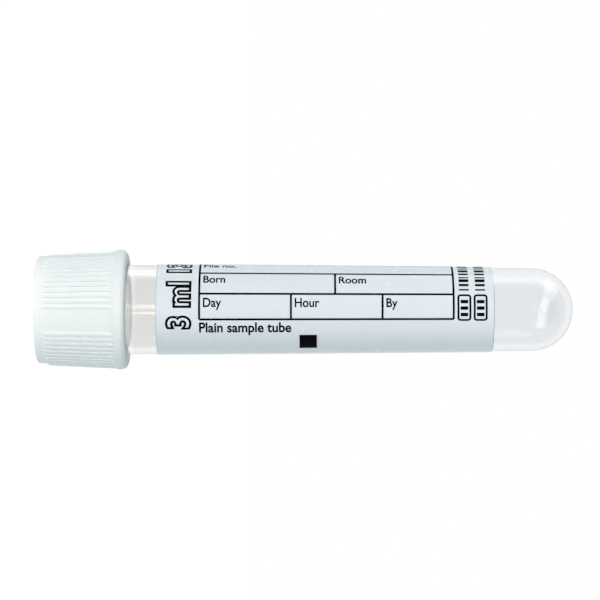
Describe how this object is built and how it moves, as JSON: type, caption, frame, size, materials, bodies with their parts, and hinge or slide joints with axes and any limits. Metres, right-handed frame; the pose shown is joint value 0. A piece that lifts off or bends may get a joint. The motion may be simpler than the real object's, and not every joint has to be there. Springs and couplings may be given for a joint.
{
  "type": "blood collection tube",
  "caption": "Clear round-ended plastic sample tube with a wrap-round write-on label, closed by a ribbed white cap holding a rubber stopper.",
  "frame": {"origin": "centre of the cap's flat top face, which the object stands on, at the bottom of its box", "axes": "+Z along the tube's axis from the cap to the round end; -Y towards the middle of the label's printed side; the open strip of the label faces +Y"},
  "size_m": [0.0174, 0.0174, 0.0775],
  "materials": {
    "clear_pet": "injection-moulded clear PET, smooth and glossy, wall seen through",
    "label_film": "satin polypropylene label film, pale cool grey-white",
    "label_ink": "black printing ink on the label film",
    "cap_polyethylene": "injection-moulded white polyethylene, satin",
    "ring_polyethylene": "injection-moulded white polyethylene, satin",
    "stopper_rubber": "moulded bromobutyl rubber, dull dark grey"
  },
  "bodies": {
    "cap_assembly": {"cap": "cap_polyethylene", "cap_ring": "ring_polyethylene", "stopper": "stopper_rubber"},
    "labelled_tube": {"tube": "clear_pet", "label": "label_film"}
  },
  "joints": [
    {"name": "tube_pull", "type": "slide", "parent": "cap_assembly", "child": "labelled_tube", "axis": [0, 0, 1], "range_m": [0, 0.025]}
  ]
}
